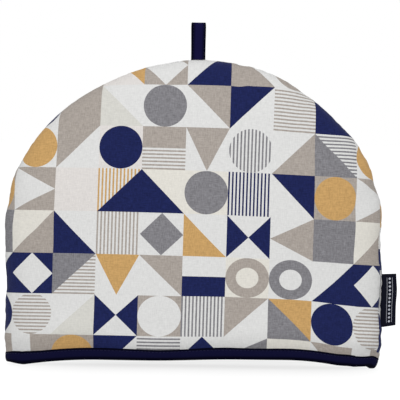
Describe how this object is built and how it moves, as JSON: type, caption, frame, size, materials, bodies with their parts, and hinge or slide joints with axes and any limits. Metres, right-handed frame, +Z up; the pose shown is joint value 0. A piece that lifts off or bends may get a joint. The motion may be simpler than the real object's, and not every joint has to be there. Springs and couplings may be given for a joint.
{
  "type": "tea cosy",
  "caption": "Padded dome-shaped tea cosy that stands open on its bound hem, with a hanging loop in the top seam and a folded side label.",
  "frame": {"origin": "middle of the whole object's bounding box, side label included, at the floor that the hem rests on", "axes": "+X across the width to the side with the label, +Y from the front panel to the back panel, +Z up to the hanging loop"},
  "size_m": [0.3651, 0.091, 0.3197],
  "materials": {
    "printed_cotton": "matt plain-weave cotton, printed with flat geometric shapes",
    "navy_binding": "matt navy cotton",
    "navy_tape": "matt navy cotton tape",
    "navy_label": "smooth navy woven ribbon"
  },
  "bodies": {
    "root": {"front_panel": "printed_cotton", "back_panel": "printed_cotton", "hem_binding": "navy_binding", "hanging_loop": "navy_tape", "side_label": "navy_label"}
  },
  "joints": []
}
